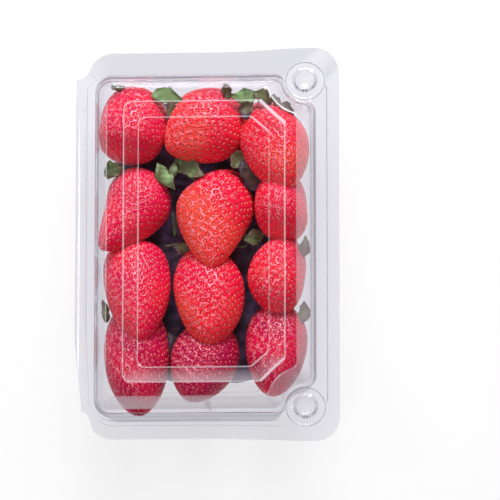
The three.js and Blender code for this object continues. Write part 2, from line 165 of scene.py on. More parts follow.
# ---------- outlines, each with the same number of points in the same order ----------
LEFT_STEPS = (8, 10)
RIGHT_STEPS = (8, 14, 8)
EDGE_STEPS = (26, 40)  # along the short and the long edges


def outline(top_right, top_left):
    """Joins the four corners, anticlockwise from the bottom left, with evenly divided straight edges."""
    flip = np.array([1, -1])
    corners = [(top_left * flip)[::-1], (top_right * flip)[::-1], top_right, top_left]
    loop = []
    for i, corner in enumerate(corners):
        steps = EDGE_STEPS[i % 2]
        t = (np.arange(1, steps) / steps)[:, None]
        loop += [corner, mix(corner[-1], corners[(i + 1) % 4][0], t)]
    return np.concatenate(loop)


def cut_circle(wall):
    """The circle that cuts a corner: round the button, or a nearly flat one along a straight chamfer."""
    if "notch" in wall:
        return BUTTON["x"], BUTTON["y"], *wall["notch"]
    (x0, y0), (x1, y1) = wall["chamfer"]
    k = CHAMFER_RADIUS / math.hypot(x1 - x0, y1 - y0)
    return (x0 + x1) / 2 + k * (y0 - y1), (y0 + y1) / 2 + k * (x1 - x0), CHAMFER_RADIUS, CHAMFER_FILLET


def wall_outline(wall):
    """A wall's outline: plain corners at the hinge, and corners cut by a circle at the open side."""
    left, right, end, corner = (wall[key] for key in ("left", "right", "end", "corner"))
    x, y, radius, fillet = cut_circle(wall)
    reach = radius + fillet
    low = (right - fillet, y - math.sqrt(reach**2 - (right - fillet - x) ** 2))
    high = (x - math.sqrt(reach**2 - (end - fillet - y) ** 2), end - fillet)
    low_turn = math.atan2(y - low[1], x - low[0])
    high_turn = math.atan2(y - high[1], x - high[0])
    hollow = arc(x, y, radius, low_turn + math.pi, high_turn + math.pi, RIGHT_STEPS[1])
    top_right = [
        arc(*low, fillet, 0, low_turn, RIGHT_STEPS[0]),
        hollow[1:-1],
        arc(*high, fillet, high_turn, TURN / 4, RIGHT_STEPS[2]),
    ]
    top_left = arc(left + corner, end - corner, corner, TURN / 4, TURN / 2, sum(LEFT_STEPS))
    return outline(np.concatenate(top_right), top_left)


def inset(wall, by):
    """A notched wall's outline moved inwards."""
    radius, fillet = wall["notch"]
    return dict(
        left=wall["left"] + by,
        right=wall["right"] - by,
        end=wall["end"] - by,
        corner=max(wall["corner"] - by * 0.4, 3),
        notch=(radius + by, fillet),
    )


def flange_outline():
    """The rim of both flanges, tucked in at the hinge's foot end and longer at the open side."""
    half, end, flare, corner = (FLANGE[key] for key in ("half", "end", "flare", "corner"))
    top_right = arc(half - corner, end - corner, corner, 0, TURN / 4, sum(RIGHT_STEPS))
    x, radius, meet = RELIEF["x"], RELIEF["radius"], RELIEF["meet"]
    y = end - RELIEF["inset"] - RELIEF["lower"]
    bend = math.sin(meet)
    round_radius = (end - y + radius * bend) / (1 - bend)
    reach = radius + round_radius
    turn = (x + reach * math.cos(meet), y - reach * bend)
    last = -math.acos((-half - x) / radius)
    top_left = np.concatenate([
        arc(*turn, round_radius, TURN / 4, TURN / 2 - meet, LEFT_STEPS[0]),
        arc(x, y, radius, -meet, last, LEFT_STEPS[1])[1:],
    ])
    points = outline(top_right, top_left)
    px, py = points.T
    tucked = px + TUCK["depth"] * smooth(TUCK["start"], TUCK["stop"], -py) * smooth(TUCK["inner"], half, -px)
    flared = py * (1 + flare / end * smooth(FLANGE["flare_start"], FLANGE["flare_stop"], px))
    return np.stack([tucked, flared], -1)


def step_down(facts, v):
    return facts["drop"] * smooth(facts["start"], facts["start"] + facts["run"], v)


def flange_shape(x, y):
    """Height above the flat level: a bead by the hinge, a lip at the open side, a crease at the foot end."""
    bead = HINGE_BEAD["height"] * np.maximum(0, 1 - ((x - HINGE_BEAD["x"]) / HINGE_BEAD["half"]) ** 2)
    bead_end = 1 - smooth(HINGE_BEAD["end"] - HINGE_BEAD["fade"], HINGE_BEAD["end"], np.abs(y))
    fade = 1 - smooth(FOOT_CREASE["fade_from"], FOOT_CREASE["fade_to"], x)
    return bead * bead_end - step_down(SIDE_LIP, x) - step_down(FOOT_CREASE, -y) * fade


def waviness(x, y, seed, waves=5):
    """Slight waves, between -1 and 1, some 28 to 70 mm long."""
    rng = np.random.default_rng(seed)
    total = 0
    for _ in range(waves):
        angle, phase = rng.uniform(0, TURN, 2)
        length = rng.uniform(28, 70)
        total = total + np.sin((x * math.cos(angle) + y * math.sin(angle)) * TURN / length + phase)
    return total / waves


# ---------- formed sheet ----------
def ring(points, height):
    """An outline lifted to one height, or to a height worked out from x and y."""
    x, y = points.T
    z = height(x, y) if callable(height) else np.full(len(points), float(height))
    return np.stack([x, y, z], -1)


CUT_LIMIT = 0.48  # a bend takes at most this share of the span on each side


def formed(stations, cuts, span_haze_and_painted_light, bend_painted_light, steps=4):
    """Rings through the stations, each inner one rounded over by its cut, with the haze value of every
    point, where a bend's is painted highlight or painted shade.

    A span's haze is one value, or a pair that it runs between.
    """
    columns = stations.shape[1]
    pairs = [h if isinstance(h, tuple) else (h, h) for h in span_haze_and_painted_light]
    starts, stops = ([np.broadcast_to(pair[end], columns) for pair in pairs] for end in (0, 1))
    rings, hazes_with_painted_light = [stations[0]], [starts[0]]
    for i in range(1, len(stations) - 1):
        here = stations[i]
        before, after = stations[i - 1] - here, stations[i + 1] - here
        if cuts[i] is None:
            rings.append(here)
            hazes_with_painted_light.append(mix(stops[i - 1], starts[i], 0.5))
            continue
        for side in (before, after):
            side *= np.minimum(cuts[i] / np.maximum(np.linalg.norm(side, axis=1), 1e-9), CUT_LIMIT)[:, None]
        for step in range(steps + 1):
            t = step / steps
            rings.append(here + before * (1 - t) ** 2 + after * t**2)
            peak = 1 - abs(2 * t - 1)
            hazes_with_painted_light.append(mix(mix(stops[i - 1], starts[i], t), bend_painted_light[i], peak))
    rings.append(stations[-1])
    hazes_with_painted_light.append(stops[-1])
    return np.array(rings), np.array(hazes_with_painted_light)


def outward(outline_points):
    """The outward direction at each point of an outline."""
    along = unit(np.roll(outline_points, -1, 0) - np.roll(outline_points, 1, 0))
    return np.stack([along[:, 1], -along[:, 0]], -1)


def facing(directions, x, y):
    """1 where an outline faces this way, falling to 0 where it faces across or away."""
    return np.maximum(directions @ np.array([x, y]), 0) ** 2


def add_mesh(name, points, quads, triangles, look):
    """A smooth mesh object in metres, from arrays: points in millimetres, then quads, then triangles."""
    quads = np.asarray(quads, np.int32).reshape(-1, 4)
    triangles = np.asarray(triangles, np.int32).reshape(-1, 3)
    mesh = bpy.data.meshes.new(name)
    mesh.vertices.add(len(points))
    mesh.vertices.foreach_set("co", (np.asarray(points) * MM).astype(np.float32).ravel())
    mesh.loops.add(quads.size + triangles.size)
    mesh.loops.foreach_set("vertex_index", np.concatenate([quads.ravel(), triangles.ravel()]))
    sizes = np.repeat([4, 3], [len(quads), len(triangles)])
    starts = (np.cumsum(sizes) - sizes).astype(np.int32)
    mesh.polygons.add(len(sizes))
    mesh.polygons.foreach_set("loop_start", starts)
    mesh.polygons.foreach_set("use_smooth", np.ones(len(sizes), bool))
    mesh.materials.append(look)
    mesh.update(calc_edges=True)
    mesh.validate()
    obj = bpy.data.objects.new(name, mesh)
    bpy.context.scene.collection.objects.link(obj)
    return obj


def bridge(first, second, columns):
    """Quads between two closed rings of points, given the number of each one's first point."""
    k = np.arange(columns)
    n = (k + 1) % columns
    return np.stack([first + k, first + n, second + n, second + k], -1)


def quads_of(rows, columns, start=0):
    """The quads of a grid that closes on itself along each row."""
    firsts = start + np.arange(rows) * columns
    return np.concatenate([bridge(a, b, columns) for a, b in zip(firsts, firsts[1:])])


def fan(ring_start, columns, middle, flip=False):
    """Triangles from a closed ring of points to one in its middle."""
    k = np.arange(columns)
    n = (k + 1) % columns
    first, second = (n, k) if flip else (k, n)
    return np.stack([ring_start + first, ring_start + second, np.full(columns, middle)], -1)


def add_capped(name, rings, ends, look, flip=False):
    """A closed solid from a grid of rings, with a point in the middle of each end."""
    rows, columns, _ = rings.shape
    last = (rows - 1) * columns
    quads = quads_of(rows, columns)
    caps = fan(0, columns, rings.size // 3, not flip), fan(last, columns, rings.size // 3 + 1, flip)
    points = np.concatenate([rings.reshape(-1, 3), ends])
    return add_mesh(name, points, quads[:, ::-1] if flip else quads, np.concatenate(caps), look)


# ---------- materials ----------
def new_material(name):
    material = bpy.data.materials.new(name)
    material.use_nodes = True
    return material, material.node_tree, material.node_tree.nodes["Principled BSDF"]


def set_inputs(node, values):
    """Sets constants on a node's own sockets."""
    for name, value in values.items():
        node.inputs[name].default_value = value


def attribute(tree, name):
    node = tree.nodes.new("ShaderNodeAttribute")
    node.attribute_name = name
    return node.outputs["Fac"]


def map_range(tree, value, low, high, to_low=0, to_high=1):
    """A smooth step of a value between two others."""
    node = tree.nodes.new("ShaderNodeMapRange")
    node.interpolation_type = "SMOOTHSTEP"
    set_inputs(node, {"From Min": low, "From Max": high, "To Min": to_low, "To Max": to_high})
    tree.links.new(value, node.inputs["Value"])
    return node.outputs[0]


def mixed(tree, factor, first, second, blend="MIX"):
    """A mix of two colours, each a plain colour or a node's output."""
    node = tree.nodes.new("ShaderNodeMix")
    node.data_type = "RGBA"
    node.blend_type = blend
    tree.links.new(factor, node.inputs["Factor"])
    for name, colour in (("A", first), ("B", second)):
        if isinstance(colour, tuple):
            node.inputs[name].default_value = (*colour, 1)
        else:
            tree.links.new(colour, node.inputs[name])
    return node.outputs["Result"]


def mixed_shaders(tree, factor, first, second):
    node = tree.nodes.new("ShaderNodeMixShader")
    tree.links.new(factor, node.inputs["Fac"])
    tree.links.new(first.outputs[0], node.inputs[1])
    tree.links.new(second.outputs[0], node.inputs[2])
    return node


def colour_ramp(tree, value, first, last, between=()):
    """Colours by a value, from the first at 0 to the last at 1, with any others at their levels."""
    node = tree.nodes.new("ShaderNodeValToRGB")
    elements = node.color_ramp.elements
    elements[0].color = (*first, 1)
    elements[1].color = (*last, 1)
    for level, colour in between:
        elements.new(level).color = (*colour, 1)
    tree.links.new(value, node.inputs["Fac"])
    return node.outputs[0]


PLASTIC_TINT = (0.971, 0.972, 0.985)
SLANT_TINT = (0.955, 0.95, 0.975)  # the way through the sheet is longer at a slant
CREASE_SHADE_TINT = (0.3, 0.28, 0.36)  # painted shade where a tight bend throws the light aside, which the haze marks as under 0
PLASTIC_IOR = 1.35


def clear_plastic():
    """Light passes through tinted, haze scatters some of it white, and the surface mirrors by angle. The
    haze attribute also holds painted highlights and painted reflections, and under 0 painted shade.
    """
    material, tree, shader = new_material("clear plastic")
    set_inputs(shader, {"Base Color": (0.93, 0.88, 0.95, 1), "Roughness": 0.3})
    haze_and_painted_light = attribute(tree, "haze_and_painted_light")
    slant = tree.nodes.new("ShaderNodeLayerWeight")
    tint = mixed(tree, slant.outputs["Facing"], PLASTIC_TINT, SLANT_TINT)
    crease_shaded = mixed(tree, map_range(tree, haze_and_painted_light, -1, 0, 1, 0), tint, CREASE_SHADE_TINT)
    clear = tree.nodes.new("ShaderNodeBsdfTransparent")
    tree.links.new(crease_shaded, clear.inputs["Color"])
    mirror = tree.nodes.new("ShaderNodeBsdfGlossy")
    mirror.inputs["Roughness"].default_value = 0.05
    side = tree.nodes.new("ShaderNodeNewGeometry")
    index = tree.nodes.new("ShaderNodeMapRange")  # light leaving the sheet meets the inverse step
    set_inputs(index, {"To Min": PLASTIC_IOR, "To Max": 1 / PLASTIC_IOR})
    angle = tree.nodes.new("ShaderNodeFresnel")
    tree.links.new(side.outputs["Backfacing"], index.inputs["Value"])
    tree.links.new(index.outputs[0], angle.inputs["IOR"])
    body = mixed_shaders(tree, haze_and_painted_light, clear, shader)
    whole = mixed_shaders(tree, angle.outputs[0], body, mirror)
    tree.links.new(whole.outputs[0], tree.nodes["Material Output"].inputs["Surface"])
    return material


def strawberry_skin():
    """Glossy red flesh. The rise attribute runs from 0 beside a seed to 1 on the ridges between the pits."""
    material, tree, shader = new_material("strawberry skin")
    # The crimson end also stands for painted shade, which the ripeness attribute carries.
    orange, crimson = (1, 0.11, 0.05), (0.5, 0.002, 0.065)
    reds = [(0.4, (0.98, 0.013, 0.045)), (0.75, (0.86, 0.003, 0.07))]
    flesh = colour_ramp(tree, attribute(tree, "ripeness_and_shade"), orange, crimson, reds)
    # Painted shade in the pits round the seeds.
    pit = map_range(tree, attribute(tree, "rise"), 0.3, 0.85, 1, 0)
    pit_shaded = mixed(tree, pit, flesh, (0.62, 0.15, 0.6), "MULTIPLY")
    # Painted highlights on the ridges.
    ridge_highlighted = mixed(tree, attribute(tree, "painted_ridge_highlight"), pit_shaded, (1, 0.27, 0.34))
    tree.links.new(ridge_highlighted, shader.inputs["Base Color"])
    set_inputs(shader, {
        "Roughness": 0.35,
        "Specular IOR Level": 0.15,
        "Coat Weight": 0.45,
        "Coat IOR": 1.5,
        "Coat Roughness": 0.12,
        "Subsurface Weight": 0.08,
        "Subsurface Radius": (1, 0.1, 0.06),
        "Subsurface Scale": MM,
    })
    return material


def seed_coat():
    """Seeds from red to orange, by the tone attribute."""
    material, tree, shader = new_material("seed")
    coat = colour_ramp(tree, attribute(tree, "tone"), (0.88, 0.06, 0.12), (1, 0.27, 0.17))
    tree.links.new(coat, shader.inputs["Base Color"])
    set_inputs(shader, {"Roughness": 0.35})
    return material


def leaf_blade():
    """Sepals from a dark purple brown through olive to bright green, by the tone attribute."""
    material, tree, shader = new_material("leaf")
    darkest, green = (0.06, 0.035, 0.05), (0.25, 0.4, 0.16)
    brown_and_olive = [(0.4, (0.16, 0.115, 0.065)), (0.7, (0.09, 0.13, 0.045))]
    blade = colour_ramp(tree, attribute(tree, "tone"), darkest, green, brown_and_olive)
    veined = mixed(tree, attribute(tree, "vein"), blade, (0.24, 0.3, 0.14))
    tree.links.new(veined, shader.inputs["Base Color"])
    set_inputs(shader, {"Roughness": 0.45, "Specular IOR Level": 0.25})
    return material


def dark_core():
    """Fruit in deep shade: dark purple, a little paler in clouds."""
    material, tree, shader = new_material("shaded fruit")
    cloud = tree.nodes.new("ShaderNodeTexNoise")
    set_inputs(cloud, {"Scale": 13, "Detail": 4})
    paleness = map_range(tree, cloud.outputs["Fac"], 0.35, 0.75)
    purple = mixed(tree, paleness, (0.03, 0.015, 0.04), (0.22, 0.12, 0.28))
    tree.links.new(purple, shader.inputs["Base Color"])
    set_inputs(shader, {"Roughness": 0.4})
    return material


# ---------- the tray and the lid ----------
def sheet_from(name, rings, hazes_with_painted_light, look, middle_rings=8):
    """A closed thin sheet from rings that run from the rim inwards, and on to the middle."""
    last, last_haze_and_painted_light = rings[-1], hazes_with_painted_light[-1]
    middle = np.array([0, 0, last[:, 2].mean()])
    for t in np.linspace(0, 1, middle_rings + 1)[1:-1]:
        rings = np.concatenate([rings, mix(last, middle, t)[None]])
        hazes_with_painted_light = np.concatenate([hazes_with_painted_light, last_haze_and_painted_light[None]])
    rows, columns, _ = rings.shape
    across = np.empty_like(rings)
    across[1:-1] = rings[2:] - rings[:-2]
    across[0] = rings[1] - rings[0]
    across[-1] = middle - rings[-2]
    along = np.roll(rings, -1, 1) - np.roll(rings, 1, 1)
    normals = unit(np.cross(along, across))
    lower = rings - normals * SHEET
    count = rows * columns
    points = np.concatenate([rings.reshape(-1, 3), lower.reshape(-1, 3), [middle, middle - [0, 0, SHEET]]])
    upper_quads, lower_quads = quads_of(rows, columns), quads_of(rows, columns, count)[:, ::-1]
    quads = np.concatenate([upper_quads, lower_quads, bridge(count, 0, columns)])
    triangles = np.concatenate([
        fan(count - columns, columns, 2 * count),
        fan(2 * count - columns, columns, 2 * count + 1, flip=True),
    ])
    obj = add_mesh(name, points, quads, triangles, look)
    paint(obj, "haze_and_painted_light", np.concatenate([hazes_with_painted_light.ravel(), hazes_with_painted_light.ravel(), [last_haze_and_painted_light.mean()] * 2]))
    return obj


FLANGE_WAVE = 0.1
# Haze is the share of the light that a point scatters white. At bends and on some walls it is painted
# highlight and painted reflection. Under 0 it is painted shade, which darkens the sheet as a crease does.
FLANGE_HAZE = 0.002
PANEL_HAZE = 0.001
RIM_HAZE = 0.05
TOP_SHADE = 0.13  # how much darker the flange is at its top end
CREASE_SHADE = 0.35
CORNER_SHADE = 0.12  # along the line inwards from the hinge's top corner
# Creases along the flange, each a line of painted shade: how far in from the rim, as a share of its width,
# and which side has one.
CREASES = ((0.437, 1, 0), (0.5, -1, 0), (0.475, 0, -1), (0.633, 0, -1))
CREASE_HALF = 0.02
FLANGE_SPLITS = np.unique(np.concatenate([
    [0, 0.012, 0.03],
    np.linspace(0.06, 0.9, 22),
    *[(share - CREASE_HALF, share, share + CREASE_HALF) for share, *_ in CREASES],
]))


def flange_rings(level):
    """The flange's rings from its rim to the lid's foot, with the haze value of every point, painted shade
    included.
    """
    def height(x, y):
        return level + flange_shape(x, y) + FLANGE_WAVE * waviness(x, y, 3)

    rim, foot = flange_outline(), wall_outline(LID_FOOT)
    rings = np.array([ring(mix(rim, foot, t), height) for t in FLANGE_SPLITS])
    out = outward(foot)
    hazes_with_painted_light = np.full((len(rings), len(rim)), FLANGE_HAZE)
    hazes_with_painted_light -= TOP_SHADE * facing(out, 0, 1)
    hazes_with_painted_light[0] = RIM_HAZE
    for share, x, y in CREASES:
        fade = 1 - smooth(20, 36, foot[:, 0]) if y else 1 - smooth(72, 84, np.abs(foot[:, 1]))
        hazes_with_painted_light[FLANGE_SPLITS == share] -= CREASE_SHADE * facing(out, x, y) * fade
    hinge_corner = np.argmax(out @ np.array([-1, 1]))
    hazes_with_painted_light[3:, hinge_corner] = -CORNER_SHADE
    return rings, hazes_with_painted_light


def rounded_button(level, shrink):
    """The snap button's profile, from its rim over the sunk ring and the boss, then back underneath."""
    rim, boss, height = BUTTON["rim"], BUTTON["boss"], BUTTON["height"]
    upper = np.array([
        [rim + 0.2, 0], [rim, 0], [rim - 0.15, -0.1], [rim - 0.3, -0.4],
        [boss + 1.2, -0.45], [boss + 0.6, -0.4], [boss + 0.2, -0.2], [boss, 0.1],
        [boss - 0.35, height - 0.7], [boss - 0.5, height - 0.25], [boss - 0.9, height],
        [boss - 1.6, height], [boss - 2.1, height - 0.3], [boss - 2.4, height - 1.2],
        [boss - 3, height - 1.5], [0, height - 1.6],
    ])
    upper[6:, 0] = np.maximum(upper[6:, 0] - shrink, 0)
    run = np.gradient(upper, axis=0)
    normal = unit(np.stack([run[:, 1], -run[:, 0]], -1))
    lower = upper - normal * SHEET * np.sign(normal[:, 1:] + 1e-9)
    lower[:, 0] = np.maximum(lower[:, 0], 0)
    lower[-1, 0] = 0
    lower[0, 0] = upper[0, 0]
    profile = np.concatenate([upper, lower[::-1]])
    profile[:, 1] += level
    return profile


BUTTON_SEGMENTS = 72
BUTTON_HAZE = 0.02
BUTTON_CREASE = -0.5  # painted shade round the button's rim, above and below
DOTS, DOT_DARK, DOT_PALE = 26, -0.9, 0.1  # the dotted ring of painted shade on the boss
SCALLOPS, SCALLOP_DEPTH = 6, 0.07


def button_ring(name, level, shrink, y, look):
    """The button turned round its axis, with a scalloped boss."""
    profile = rounded_button(level, shrink)
    a = np.linspace(0, TURN, BUTTON_SEGMENTS, endpoint=False)
    rows = []
    for r, z in profile:
        reach = r * (1 + SCALLOP_DEPTH * np.cos(SCALLOPS * a) * (0.5 < r < BUTTON["boss"] - 1.9))
        rows.append(ring(np.stack([BUTTON["x"] + reach * np.cos(a), y + reach * np.sin(a)], -1), z))
    upper_rows = len(profile) // 2 - 1
    rings = np.array(rows[:upper_rows] + rows[upper_rows + 2:])
    lower_start = upper_rows * BUTTON_SEGMENTS
    count = 2 * lower_start
    ends = [[BUTTON["x"], y, z] for z in profile[upper_rows:upper_rows + 2, 1]]
    quads = np.concatenate([
        quads_of(upper_rows, BUTTON_SEGMENTS),
        quads_of(upper_rows, BUTTON_SEGMENTS, lower_start),
        bridge(count - BUTTON_SEGMENTS, 0, BUTTON_SEGMENTS),
    ])
    triangles = np.concatenate([
        fan(lower_start - BUTTON_SEGMENTS, BUTTON_SEGMENTS, count),
        fan(lower_start, BUTTON_SEGMENTS, count + 1, flip=True),
    ])
    obj = add_mesh(name, np.concatenate([rings.reshape(-1, 3), ends]), quads, triangles, look)
    hazes_with_painted_light = np.full(rings.shape[:2], BUTTON_HAZE)
    hazes_with_painted_light[[1, 2, -1]] = BUTTON_CREASE
    hazes_with_painted_light[8:10] = np.where(np.cos(DOTS * a) > -0.3, DOT_DARK, DOT_PALE)
    paint(obj, "haze_and_painted_light", np.concatenate([hazes_with_painted_light.ravel(), [BUTTON_HAZE, BUTTON_HAZE]]))
    return obj


def button_hole(level, y, look):
    """A cylinder through the flange, to be cut from it."""
    circle = arc(BUTTON["x"], y, BUTTON["rim"], 0, TURN, BUTTON_SEGMENTS)[:-1]
    heights = level - BUTTON["height"], level + BUTTON["height"]
    rings = np.array([ring(circle, z) for z in heights])
    hole = add_capped("hole", rings, [[BUTTON["x"], y, z] for z in heights], look)
    paint(hole, "haze_and_painted_light", np.full(len(hole.data.vertices), FLANGE_HAZE))
    return hole


def boolean(obj, other, operation):
    """Cuts the other object from this one, or joins it on, and deletes it."""
    modifier = obj.modifiers.new(operation, "BOOLEAN")
    modifier.operation = operation
    modifier.solver = "MANIFOLD"
    modifier.object = other
    bpy.context.view_layer.update()
    evaluated = obj.evaluated_get(bpy.context.evaluated_depsgraph_get())
    mesh = bpy.data.meshes.new_from_object(evaluated)
    obj.modifiers.clear()
    obj.data = mesh
    bpy.data.objects.remove(other)


def with_buttons(obj, level, shrink, look):
    """The sheet with a snap button set in each corner of its open side."""
    for side in (1, -1):
        y = side * BUTTON["y"]
        boolean(obj, button_hole(level, y, look), "DIFFERENCE")
        boolean(obj, button_ring("button", level, shrink, y, look), "UNION")
    return obj


def cut_corner(out):
    """1 at the top end's cut corner, less at the foot end's, and 0 along the straight sides."""
    return smooth(0.6, 0.95, np.maximum(facing(out, 0.707, 0.707), 0.8 * facing(out, 0.707, -0.707)))


def sheet_with_flange(name, level, stations, cuts, spans, bends, look):
    """A sheet from its flange on through the stations. The flange's inner ring is the first of them."""
    flange, flange_haze_and_shade = flange_rings(level)
    spans = [flange_haze_and_shade[-1], *spans]
    rings, hazes_with_painted_light = formed(np.array([flange[-1], *stations]), cuts, spans, bends)
    rings = np.concatenate([flange[:-1], rings])
    return sheet_from(name, rings, np.concatenate([flange_haze_and_shade[:-1], hazes_with_painted_light]), look)


def make_lid(look):
    """The lid. Its milky bands and bright edges are painted reflections and painted highlights, set by which
    way each wall faces, as in the photo.
    """
    level, top = LID_FLANGE, LID_FLANGE + LID_RISE
    edge, panel_edge, panel_foot = (wall_outline(wall) for wall in (LID_EDGE, PANEL_EDGE, PANEL_FOOT))
    stations = [
        ring(wall_outline(LID_FOOT), level),
        ring(edge, top),
        ring(panel_edge, top),
        ring(panel_foot, top - LID_RECESS),
        ring(panel_foot * 0.9, top - LID_RECESS),
    ]
    out, panel_out = outward(edge), outward(panel_edge)
    notch, corner = cut_corner(out), cut_corner(panel_out)
    left, right, bottom = facing(out, -1, 0), facing(out, 1, 0), facing(out, 0, -1)
    # A painted glint at the bottom left corner of the panel's foot.
    painted_glint = smooth(0.96, 1, facing(panel_out, -0.707, -0.707))
    # Painted reflections: milky bands on the walls that face right and towards the foot, and on the slope
    # that faces the foot.
    wall = 0.012 + 0.1 * right + 0.4 * bottom, 0.012 + 0.1 * right + 0.2 * bottom
    slope = 0.01 + 0.13 * facing(panel_out, 0, -1), 0.005
    # Painted shade along the lid's foot, lighter towards the foot end and the right; painted highlights
    # along the other bends, strongest at the cut corners.
    foot_bend = -0.6 + 0.4 * bottom + 0.2 * right
    edge_bend = 0.14 + 0.16 * left + 0.46 * notch
    panel_bend = 0.32 + 0.34 * corner
    inner_bend = 0.25 + 0.18 * corner + 0.6 * painted_glint - 0.13 * facing(panel_out, 1, 0)
    spans = [wall, PANEL_HAZE, slope, PANEL_HAZE]
    bends = [0, foot_bend, edge_bend, panel_bend, inner_bend, 0]
    cuts = [None, 0.5, 0.5 + 0.3 * notch, 0.55 + 0.7 * corner, 0.5 + 0.2 * corner, None]
    lid = sheet_with_flange("lid_film", level, stations, cuts, spans, bends, look)
    return with_buttons(lid, level, 0, look)


def make_tray(look):
    """The tray, whose walls lean in to a rounded foot, with the middle of its base raised."""
    foot = TRAY_TAPER + TRAY_ROUND + TRAY_FOOT_WIDTH
    insets_and_heights = [
        (0, TRAY_FLANGE),
        (TRAY_TAPER + 0.4, SHEET),
        (foot, SHEET),
        (foot + 2.5, SHEET + BASE_RISE),
        (foot + 8, SHEET + BASE_RISE),
    ]
    stations = [ring(wall_outline(inset(TRAY_MOUTH, by)), z) for by, z in insets_and_heights]
    spans = [0.05, 0.01, 0.02, 0.01]
    # Painted highlights along the bends.
    bends = [0, 0.08, 0.04, 0.1, 0.1, 0]
    cuts = [None, 1.3, TRAY_ROUND * 0.9, 0.8, 0.8, None]
    tray = sheet_with_flange("tray_film", TRAY_FLANGE, stations, cuts, spans, bends, look)
    return with_buttons(tray, TRAY_FLANGE, SHEET + NEST_GAP, look)


# ---------- the fruit ----------
# Heights where the walls of the room inside the pack bend: at the base, the top of its rounding, under the
# flange, at the lid's foot and under its panel.
ROOM_LEVELS = (2.1, 5.1, 32.6, 34.2, 41.8)
ROOM_FLOOR = 2.3
ROOM_CEILING = LID_FLANGE + LID_RISE - LID_RECESS - SHEET - FRUIT_GAP
ROOM_GAP = FRUIT_GAP + 0.1


def room_wall(z, walls, inwards):
    """Where a wall of the room lies at each height, from its place in the three outlines."""
    mouth, foot, edge = walls
    knots = [
        mouth + inwards * (TRAY_TAPER + TRAY_ROUND + ROOM_GAP),
        mouth + inwards * (TRAY_TAPER + ROOM_GAP),
        mouth + inwards * (SHEET + ROOM_GAP),
        foot + inwards * (SHEET + ROOM_GAP),
        edge + inwards * (SHEET + ROOM_GAP),
    ]
    return np.interp(z, ROOM_LEVELS, knots)


def confine(points):
    """Fruit pressed against the pack flattens: nothing leaves the room inside."""
    x, y, z = points.T.copy()
    z = np.clip(z, ROOM_FLOOR, ROOM_CEILING)
    walls = TRAY_MOUTH, LID_FOOT, LID_EDGE
    left, right, end = ([wall[key] for wall in walls] for key in ("left", "right", "end"))
    x = np.clip(x, room_wall(z, left, 1), room_wall(z, right, -1))
    y = np.clip(y, -room_wall(z, end, -1), room_wall(z, end, -1))
    notch = room_wall(z, [wall["notch"][0] for wall in walls], 1)
    for side in (1, -1):
        dx, dy = x - BUTTON["x"], y - side * BUTTON["y"]
        distance = np.maximum(np.hypot(dx, dy), 1e-6)
        push = np.maximum(notch / distance, 1)
        x, y = BUTTON["x"] + dx * push, side * BUTTON["y"] + dy * push
    return np.stack([x, y, z], -1)


class Berry:
    """One strawberry's surface: t runs from its crown to its tip, and a runs round it."""

    def __init__(self, facts, rng):
        crown, tip, width, self.full, self.peak, self.bend, self.square = facts
        self.crown = np.array(crown, float)
        reach = np.array(tip, float) - self.crown
        self.length = np.linalg.norm(reach)
        self.along = reach / self.length
        self.side = unit(np.cross(self.along, [0, 0, 1]))
        self.face = np.cross(self.side, self.along)
        self.half = width / 2, STRAWBERRY_DEPTH / 2
        self.phases = rng.uniform(0, TURN, 4)

    def radius(self, t):
        """The half width at t, as a share of the largest."""
        to_crown = np.clip(1 - t / self.peak, 0, 1)
        to_tip = np.clip((t - self.peak) / (1 - self.peak), 0, 1)
        return np.where(t < self.peak, np.sqrt(1 - to_crown**self.square), (1 - to_tip**self.full) ** 0.62)

    def surface(self, t, a):
        p = self.phases
        lump = 1 + 0.022 * np.sin(2 * a + p[0] + 3 * t) + 0.014 * np.sin(3 * a + p[1] - 4 * t)
        r = self.radius(t) * lump
        points = (
            self.crown
            + self.along * (t * self.length)[..., None]
            + self.side * (self.half[0] * r * np.cos(a) + self.bend * np.sin(math.pi * t))[..., None]
            + self.face * (self.half[1] * r * np.sin(a))[..., None]
        )
        return confine(points.reshape(-1, 3)).reshape(points.shape)

    def normal(self, t, a):
        step = 0.004
        t = np.clip(t, 0.02, 0.98)
        across = self.surface(t, a + step) - self.surface(t, a - step)
        along = self.surface(t + step, a) - self.surface(t - step, a)
        return unit(np.cross(along, across))

    def profile(self):
        """Values of t, and the length of the profile from each to the next."""
        t = (1 - np.cos(np.linspace(0, math.pi, 600))) / 2
        return t, np.hypot(np.diff(t * self.length), np.diff(self.radius(t) * self.half[0]))

    def spread(self, steps):
        """Values of t at even steps along the profile's length."""
        t, path = self.profile()
        length = np.concatenate([[0], np.cumsum(path)])
        return np.interp(np.linspace(0, length[-1], steps), length, t)

    def seeds(self, spacing):
        """Seeds on a spiral with the same area for each."""
        t, path = self.profile()
        r = self.radius((t[1:] + t[:-1]) / 2) * sum(self.half) / 2
        area = np.concatenate([[0], np.cumsum(TURN * r * path)])
        count = int(area[-1] / (spacing**2 * math.sqrt(3) / 2))
        order = np.arange(count) + 0.5
        seeds_t = np.interp(order / count * area[-1], area, t)
        return seeds_t, (order * TURN * (math.sqrt(5) - 1) / 2) % TURN


SEED_SPACING = 2.8
SEED_SPREAD = 0.6  # added to the spacing for each unit of warmth
SEED_JITTER = 0.42
SEED_SIZE = np.array([1.8, 1.25, 0.8])  # length, width and height
SEED_RAISE = 0.52  # from the bottom of a pit to the middle of its seed
PIT_DEPTH = 0.85
PIT_CURVE = 1.8
RIPENESS = 0.73
RIDGE_LIGHT = np.array([-0.35, 0.35, 0.87])  # the painted ridge highlights are strongest where the ridges face this way
UPPER_COLUMNS, LOWER_COLUMNS, ROWS = 148, 22, 176
LOWER_START, LOWER_STOP = math.radians(195), math.radians(345)


